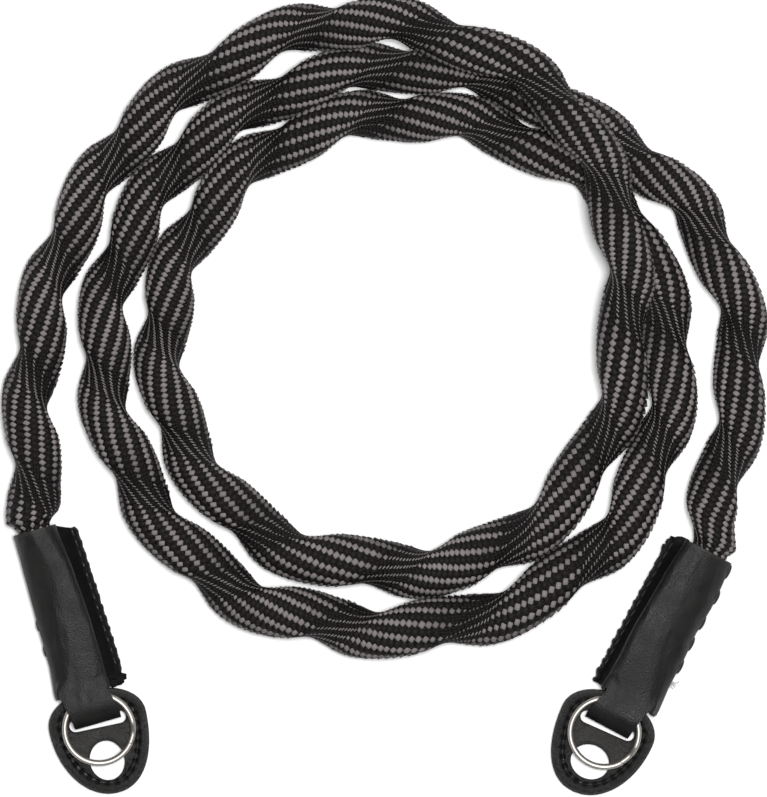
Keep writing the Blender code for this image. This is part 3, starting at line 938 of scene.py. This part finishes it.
def makeFlangeLayer(end, upper):
    side = end["side"]
    bm = bmesh.new()
    bmesh.ops.create_grid(bm, x_segments=flange["columns"], y_segments=flange["rows"], size=0.5)
    wearLayer = bm.verts.layers.float.new("wear")
    length = sleeve["length"] - (end["flangeShort"] if upper else 0.4 * mm)
    layerLevel = sleeve["flangeLevel"] + sleeve["leather"] * (2 if upper else 1)
    for vert in bm.verts:
        share = vert.co.y + 0.5
        out = vert.co.x + 0.5
        beginning = end["flangeStart"] + end["flangeSlant"][0] * out ** end["flangeSlant"][1]
        distance = beginning + share * (length - beginning)
        form = formAt(max(distance, 1.7 * mm))
        root = end["width"] * form["width"] / 2 - flange["root"]
        corner = min(share * 40, 1.0) ** 0.5 * min((1 - share) * 40, 1.0) ** 0.5
        edge = end["width"] * form["width"] / 2 + flangeReach(end, distance, form) * (0.9 + 0.1 * corner)
        phase = distance / end["stitch"] * 2 * math.pi
        edge += end["scallop"] * math.sin(phase) * (1 if upper else -0.6)
        edge += flange["roughness"] * uneven(distance / mm * 0.8, 4.0 if upper else 8.0, side)
        across = root + (edge - root) * out
        level = layerLevel + flange["waviness"] * uneven(distance / mm * 0.25, out, 5 + side)
        if upper:
            level -= flange["seamDent"] * math.exp(-((out - flange["seam"]) / 0.11) ** 2)
            level += flange["pucker"] * math.cos(phase) * out
            rise = flange["rise"] * max(1 - out / flange["riseWidth"], 0) ** 1.3
            level += rise * float(smoothStep(distance, 0.4 * mm, 3.5 * mm))
        vert.co = Vector((across * side, -distance, level))
        vert[wearLayer] = 0.7 * float(smoothStep(out, 0.88, 1.0))
    faceUp(bm)
    name = end["name"] + ("FlangeTop" if upper else "FlangeBottom")
    # The flange takes the darker leather, painted shade for the seam's valley
    piece = placePiece(name, keepMesh(name, bm, end["place"]), flangeShadeLeather)
    thickenLeather(piece, flange["skin"], flange["rounding"])


def addStitch(bm, start, end, radius, arch):
    # One thread lying from hole to hole, arched a little over the leather
    middle = (start + end) / 2
    way = (end - start).normalized()
    length = (end - start).length
    made = bmesh.ops.create_uvsphere(bm, u_segments=10, v_segments=8, radius=1.0)
    turn = way.to_track_quat("Z", "Y").to_matrix().to_4x4()
    shape = Matrix.Diagonal((radius, radius, length / 2 + radius * 0.5, 1))
    bmesh.ops.transform(bm, matrix=Matrix.Translation(middle + arch) @ turn @ shape, verts=made["verts"])


def finishThreads(name, bm, place):
    placePiece(name, keepMesh(name, bm, place), blackThread)


def makeSleeveStitches(end):
    bm = bmesh.new()
    side = end["side"]
    count = int(tabStart / end["stitch"])
    for index in range(count):
        distance = 1.6 * mm + index * end["stitch"]
        form = formAt(distance)
        reach = flangeReach(end, distance, form)
        out = float(end["width"] * form["width"] / 2 + flange["stitched"] * reach)
        level = sleeve["flangeLevel"] + 2 * sleeve["leather"] - flange["stitchSink"]
        start = Vector((out * side, -distance - 0.3 * mm, level))
        finish = Vector(((out + 0.15 * mm) * side, -distance - end["stitch"] + 0.55 * mm, level))
        addStitch(bm, start, finish, 0.24 * mm, Vector((0, 0, 0.02 * mm)))
    # Threads that show where they turn round the plain edge, at distances in millimetres
    for distance in end["edgeStitches"]:
        form = formAt(distance * mm)
        edge = end["width"] * form["width"] / 2
        edge += mm * np.interp(distance, crownPlaces, end["plainReach"])
        level = sleeve["height"] * float(form["height"]) * 0.42
        reach = end["edgeStitch"]["reach"]
        start = Vector((-(edge - 0.05 * mm) * side, -distance * mm + reach, level))
        finish = Vector((-(edge + 0.05 * mm) * side, -distance * mm - reach, level - 0.3 * mm))
        addStitch(bm, start, finish, end["edgeStitch"]["radius"], Vector((0, 0, 0)))
    finishThreads(end["name"] + "SleeveStitches", bm, end["place"])


def padPlace(end):
    slope = Matrix.Rotation(padSlope, 4, "X")
    base = Matrix.Translation(
        (sleeve["tabShift"] * end["side"], -slotDistance, padForm["below"] * math.sin(padSlope))
    )
    return end["place"] @ base @ Matrix.Rotation(-padForm["turn"] * end["side"], 4, "Z") @ slope


def padOutline(end, inset, count):
    # Outline of the guard pad drawn in by an inset, leaning towards the flange side near its far edge
    points = []
    for step in range(count):
        angle = 2 * math.pi * step / count
        cosine, sine = math.cos(angle), math.sin(angle)
        above = padForm["above"] if sine > 0 else padForm["below"]
        x = math.copysign(abs(cosine) ** (2 / 2.1), cosine) * (padForm["width"] / 2 - inset)
        y = math.copysign(abs(sine) ** (2 / 2.1), sine) * (above - inset)
        points.append(Vector((x + padLean(y) * end["side"], y, 0)))
    return points


def padLean(y):
    return padForm["lean"] * min(y / padForm["below"], 0.0) ** 2


def slotOutline():
    middle = -(slotTop + slotBottom) / 2
    radius = (slotBottom - slotTop) / 2
    straight = sleeve["tabWidth"] / 2 + padForm["slotSideGap"] - radius
    points = []
    for centre, start in ((straight, -90), (-straight, 90)):
        for step in range(13):
            angle = math.radians(start + step * 15)
            points.append(
                Vector((centre + radius * math.cos(angle), middle + radius * math.sin(angle), 0))
            )
    return points


def holeOutline(end):
    width, length = end["hole"]
    points = []
    for step in range(48):
        angle = 2 * math.pi * step / 48
        x = math.cos(angle) * width / 2 + padLean(-padForm["holeDistance"]) * end["side"]
        points.append(Vector((x, math.sin(angle) * length / 2 - padForm["holeDistance"], 0)))
    return points


def punchedPlate(outlines, thickness):
    # A flat plate from a row of closed outlines, the first the rim and the others the openings
    bm = bmesh.new()
    edges = []
    for outline in outlines:
        verts = [bm.verts.new(point) for point in outline]
        edges += [bm.edges.new((first, second)) for first, second in zip(verts, verts[1:] + verts[:1])]
    made = bmesh.ops.triangle_fill(bm, edges=edges, use_beauty=True, use_dissolve=False)
    faces = [item for item in made["geom"] if isinstance(item, bmesh.types.BMFace)]
    leeShadeAmount = bmesh.ops.extrude_face_region(bm, geom=faces)
    top = [item for item in leeShadeAmount["geom"] if isinstance(item, bmesh.types.BMVert)]
    bmesh.ops.translate(bm, verts=top, vec=(0, 0, thickness))
    bmesh.ops.recalc_face_normals(bm, faces=bm.faces)
    return bm


def nearestAlong(points, line):
    # For each point, its distance to a closed line and its place along that line
    ring = np.array([point[:2] for point in line])
    following = np.roll(ring, -1, axis=0)
    step = following - ring
    lengths = np.linalg.norm(step, axis=1)
    starts = np.concatenate([[0], np.cumsum(lengths)[:-1]])
    best = np.full(len(points), 1e9)
    place = np.zeros(len(points))
    for index in range(len(ring)):
        offset = points - ring[index]
        share = np.clip(offset @ step[index] / lengths[index] ** 2, 0, 1)
        away = np.linalg.norm(offset - share[:, None] * step[index], axis=1)
        closer = away < best
        best[closer] = away[closer]
        place[closer] = (starts[index] + share * lengths[index])[closer]
    return best, place, float(lengths.sum())


def makeGuardPad(end):
    rim = padOutline(end, 0, 120)
    slot, hole = slotOutline(), holeOutline(end)
    bm = punchedPlate([rim, slot, hole], padForm["thickness"])
    name = end["name"] + "GuardPad"
    piece = placePiece(
        name, keepMesh(name, bm), padLeather, [end["name"] + "_guard_pad"]
    )
    addModifier(piece, "REMESH", mode="VOXEL", voxel_size=padForm["voxel"])
    addModifier(piece, "SMOOTH", factor=0.6, iterations=4)
    applyModifiers(piece)
    # The rim, the sewn channel and its puckers, pressed into the even mesh
    mesh = piece.data
    count = len(mesh.vertices)
    spots = np.zeros(count * 3)
    mesh.vertices.foreach_get("co", spots)
    spots = spots.reshape(-1, 3)
    fromRim, _, _ = nearestAlong(spots[:, :2], rim)
    fromSlot, _, _ = nearestAlong(spots[:, :2], slot)
    fromHole, _, _ = nearestAlong(spots[:, :2], hole)
    seam = padOutline(end, padForm["seamInset"], 160)
    fromSeam, along, total = nearestAlong(spots[:, :2], seam)
    stitches = round(total / padForm["stitch"])
    phase = along / total * stitches
    top = smoothStep(spots[:, 2], padForm["thickness"] * 0.35, padForm["thickness"] * 0.8)
    channel = padForm["channelDepth"] * np.exp(-(fromSeam / padForm["channelWidth"]) ** 2)
    hollow = (np.abs(phase - np.rint(phase)) * total / stitches) ** 2 + fromSeam**2
    pits = padForm["pitDepth"] * np.exp(-hollow / padForm["pitWidth"] ** 2)
    bulge = padForm["bulge"] * np.exp(-((fromRim - 1.1 * mm) / (0.7 * mm)) ** 2)
    inside = -padForm["middleSink"] * smoothStep(fromRim, 2.6 * mm, 3.6 * mm)
    fromLip = np.minimum(fromSlot, fromHole)
    lips = -padForm["lipSink"] * (1 - smoothStep(fromLip, 0.0, 0.7 * mm))
    rough = np.array([
        uneven(x / mm * 0.5, y / mm * 0.5, 2.0 + end["side"]) * 0.12
        + uneven(x / mm * 1.7, y / mm * 1.7, 7.0) * 0.13
        for x, y in spots[:, :2]
    ]) * mm
    spots[:, 2] += top * (bulge - channel - pits + inside + lips + rough)
    wear = top * np.exp(-((fromRim - 0.25 * mm) / (0.3 * mm)) ** 2)
    wear = np.maximum(wear, 0.7 * np.exp(-(fromLip / (0.35 * mm)) ** 2))
    wear = np.maximum(wear, top * 0.75 * smoothStep(fromRim, 3.4 * mm, 4.4 * mm))
    # Painted shade in the sunk stitch pits and along the sewn channel
    pit = top * np.exp(-hollow / (0.5 * mm) ** 2) + 0.5 * top * np.exp(-(fromSeam / (0.6 * mm)) ** 2)
    turn = np.array(padPlace(end))
    spots = spots @ turn[:3, :3].T + turn[:3, 3]
    mesh.vertices.foreach_set("co", spots.ravel())
    for label, amounts in (("wear", wear), ("pit", np.minimum(pit, 1.0))):
        layer = mesh.attributes.new(label, "FLOAT", "POINT")
        layer.data.foreach_set("value", amounts.astype(np.float32))
    mesh.update()
    print(name, count, "points,", stitches, "stitches")
    return seam, stitches


def makePadStitches(end, seam, stitches):
    bm = bmesh.new()
    count = len(seam)
    lengths = [0.0]
    for index in range(count):
        lengths.append(lengths[-1] + (seam[(index + 1) % count] - seam[index]).length)
    xs = [point.x for point in seam] + [seam[0].x]
    ys = [point.y for point in seam] + [seam[0].y]
    level = padForm["thickness"] - padForm["stitchSink"]
    for stitch in range(stitches):
        ends = [(stitch + share) / stitches * lengths[-1] for share in (0.16, 0.84)]
        start, finish = (
            Vector((np.interp(spot, lengths, xs), np.interp(spot, lengths, ys), level)) for spot in ends
        )
        addStitch(bm, start, finish, 0.21 * mm, Vector((0, 0, 0.03 * mm)))
    finishThreads(end["name"] + "PadStitches", bm, padPlace(end))


def makeFlangeScrap(end):
    # The end of the flange's under layer, crumpled where it sticks out beside the tab
    bm = bmesh.new()
    bmesh.ops.create_icosphere(bm, subdivisions=5, radius=1.0)
    for vert in bm.verts:
        way = vert.co.normalized()
        fold = noise.noise(way * 1.7 + Vector((4, 0, 0))) * 0.35 + noise.noise(way * 4.5) * 0.16
        vert.co = way * (0.92 + fold)
        vert.co = Vector((vert.co.x * 2.6, vert.co.y * 1.9, vert.co.z * 0.85)) * mm
    shift = Matrix.Translation((7.0 * mm * end["side"], -33.4 * mm, sleeve["flangeLevel"] + 1.3 * mm))
    name = end["name"] + "FlangeScrap"
    mesh = keepMesh(name, bm, end["place"] @ shift @ Matrix.Rotation(-0.3, 4, "Z"))
    # The scrap takes the flanges' darker leather, which is painted shade
    placePiece(name, mesh, flangeShadeLeather)


def makeLooseThreads(end):
    # A tuft of lint and thread ends caught at the plain edge
    made, tree, shader = startMaterial("greyLint")
    setNode(tree, shader, {"Base Color": linearColour("#a9a8a6"), "Roughness": 0.85})
    shape = bpy.data.curves.new(end["name"] + "LooseThreads", "CURVE")
    shape.dimensions = "3D"
    shape.bevel_depth = 0.07 * mm
    shape.bevel_resolution = 2
    rng = np.random.default_rng(5)
    for _ in range(5):
        spline = shape.splines.new("BEZIER")
        spline.bezier_points.add(3)
        spot = np.array([5.7, -27.6, 3.4]) + rng.normal(0, 0.25, 3)
        heading = rng.uniform(-0.9, 0.7)
        for point in spline.bezier_points:
            point.co = Vector(spot) * mm
            point.handle_left_type = point.handle_right_type = "AUTO"
            spot = spot + np.array([math.cos(heading), math.sin(heading), 0.0]) * rng.uniform(0.35, 0.7)
            heading += rng.normal(0.3, 0.9)
    tuft = bpy.data.objects.new("tuft", shape)
    scene.collection.objects.link(tuft)
    mesh = bpy.data.meshes.new_from_object(tuft.evaluated_get(bpy.context.evaluated_depsgraph_get()))
    bpy.data.objects.remove(tuft)
    mesh.transform(end["place"])
    mesh.name = end["name"] + "LooseThreads"
    placePiece(mesh.name, mesh, made)


# Each end as it was sewn and worn. Crown, plain reach and the edge stitches' places are in millimetres.
leftEnd.update(
    crown=[0.6, 2.0, 2.9, 3.0, 2.9, 2.6, 1.8],
    plainReach=[0.0, -0.1, -0.15, -0.25, -0.35, -0.5, -0.3],
    stitch=2.3 * mm, scallop=0.12 * mm,
    flangeStart=0.2 * mm, flangeShort=1.0 * mm,
    flangeSlant=(1.8 * mm, 1.0), flangeReach=[1.18, 1.18, 1.15],
    pinch=0.10 * mm, fray=0.1 * mm,
    edgeStitches=[19.0, 24.4], edgeStitch={"reach": 1.0 * mm, "radius": 0.36 * mm},
    hole=(7.1 * mm, 8.2 * mm),
)
rightEnd.update(
    crown=[2.4, 2.8, 3.0, 3.2, 3.0, 2.2, 1.6],
    plainReach=[0.3, 0.6, 0.7, 0.1, 0.25, 0.0, 0.0],
    stitch=2.25 * mm, scallop=0.26 * mm,
    flangeStart=-0.2 * mm, flangeShort=-0.9 * mm,
    flangeSlant=(2.6 * mm, 5.0), flangeReach=[1.05, 1.0, 0.72],
    pinch=0.26 * mm, fray=0.45 * mm,
    edgeStitches=[1.9, 7.6, 13.5, 18.4, 23.5], edgeStitch={"reach": 1.35 * mm, "radius": 0.50 * mm},
    hole=(8.0 * mm, 7.1 * mm),
)
makeFlangeScrap(leftEnd)
makeLooseThreads(rightEnd)
for end in (leftEnd, rightEnd):
    makeSleeveLeather(end)
    makeFlangeLayer(end, True)
    makeFlangeLayer(end, False)
    makeSleeveStitches(end)
    seam, stitches = makeGuardPad(end)
    makePadStitches(end, seam, stitches)
    print(end["name"], "leather end made")


def steelMaterial():
    # Spring steel wire, nickel plated and tumbled: bright with a satin bloom and fine scuffs
    made, tree, shader = startMaterial("nickelPlatedSteel")
    spot = addNode(tree, "TexCoord").outputs["Object"]
    scuffs = addNode(
        tree, "TexNoise", {"Scale": 2200.0, "Detail": 3.0, "Roughness": 0.6}, {"Vector": spot}
    )
    rough = addNode(
        tree, "MapRange", {"From Min": 0.3, "From Max": 0.7, "To Min": 0.48, "To Max": 0.54},
        {"Value": scuffs},
    )
    ramp = addNode(tree, "ValToRGB", {"stops": [(0.3, "#b3afa9"), (0.7, "#c0bcb6")]}, {"Fac": scuffs})
    bump = addNode(tree, "Bump", {"Strength": 0.02, "Distance": 0.00003}, {"Height": scuffs})
    links = {"Base Color": ramp, "Roughness": rough, "Normal": bump}
    setNode(tree, shader, {"Metallic": 1.0}, links)
    return made


ringSteel = steelMaterial()


def makeSplitRing(end):
    # Two flat turns of one round wire, swept from a small circle
    steps = ringForm["steps"]
    last = int(steps * ringForm["turns"])
    rise = ringForm["wire"] + ringForm["turnGap"]
    radius = (ringForm["diameter"] - ringForm["wire"]) / 2
    bm = bmesh.new()
    bmesh.ops.create_grid(bm, x_segments=16, y_segments=last, size=0.5)
    for vert in bm.verts:
        around = (vert.co.x + 0.5) * 2 * math.pi
        turned = (vert.co.y + 0.5) * last / steps * 2 * math.pi
        stepStart = 2 * math.pi - math.radians(ringForm["step"])
        level = rise * float(smoothStep(turned, stepStart, 2 * math.pi))
        wire = ringForm["wire"] / 2 + ringForm["plating"]
        out = radius + wire * math.cos(around)
        level += wire * math.sin(around)
        vert.co = Vector((out * math.cos(turned), out * math.sin(turned), level))
    bmesh.ops.remove_doubles(bm, verts=bm.verts, dist=0.005 * mm)
    caps = bmesh.ops.holes_fill(bm, edges=[edge for edge in bm.edges if edge.is_boundary], sides=0)
    bmesh.ops.recalc_face_normals(bm, faces=bm.faces)
    rims = [edge for face in caps["faces"] for edge in face.edges]
    bmesh.ops.bevel(
        bm, geom=rims, offset=ringForm["endRounding"], segments=2, profile=0.5, affect="EDGES",
        material=-1, clamp_overlap=True,
    )
    lift = padForm["thickness"] + sleeve["fit"] + ringForm["wire"] / 2
    place = padPlace(end) @ Matrix.Translation((0, -ringForm["below"], lift))
    name = end["name"] + "SplitRing"
    mesh = keepMesh(name, bm, place)
    placePiece(name, mesh, ringSteel, [end["name"] + "_split_ring"])


for end in (leftEnd, rightEnd):
    makeSplitRing(end)
print("split rings made")


def paperMaterial():
    # Matt white paper: almost even, with a faint tooth
    made, tree, shader = startMaterial("whitePaper")
    spot = addNode(tree, "TexCoord").outputs["Object"]
    tooth = addNode(tree, "TexNoise", {"Scale": 900.0, "Detail": 2.0}, {"Vector": spot})
    ramp = addNode(tree, "ValToRGB", {"stops": [(0.3, "#f2f2f2"), (0.7, "#f5f5f5")]}, {"Fac": tooth})
    setNode(tree, shader, {"Roughness": 0.9}, {"Base Color": ramp})
    return made


bm = bmesh.new()
bmesh.ops.create_grid(bm, x_segments=1, y_segments=1, size=3.0)
floorMesh = keepMesh("paperFloor", bm)
floorMesh.materials.append(paperMaterial())
paperFloor = bpy.data.objects.new("paperFloor", floorMesh)
scene.collection.objects.link(paperFloor)


# Two soft boxes and a faint even room
softBoxes = [
    {"name": "frontBox", "spot": (0.12, 0.10, 2.2), "size": (0.4, 0.4), "power": 55.0},
    {"name": "topBox", "spot": (0.25, 0.75, 0.8), "size": (0.8, 0.5), "power": 2.0},
]
roomStrength = 0.10
aim = Vector((0, 0.05, 0))

for box in softBoxes:
    lamp = bpy.data.lights.new(box["name"], "AREA")
    lamp.shape = "RECTANGLE"
    lamp.size, lamp.size_y = box["size"]
    lamp.energy = box["power"]
    light = bpy.data.objects.new(box["name"], lamp)
    light.location = box["spot"]
    light.rotation_euler = (aim - Vector(box["spot"])).to_track_quat("-Z", "Y").to_euler()
    scene.collection.objects.link(light)
world = bpy.data.worlds.new("softRoom")
world.use_nodes = True
background = world.node_tree.nodes["Background"]
setNode(world.node_tree, background, {"Color": linearColour("#ffffff"), "Strength": roomStrength})
scene.world = world
scene.view_settings.view_transform = "Standard"
print("floor and lights made")
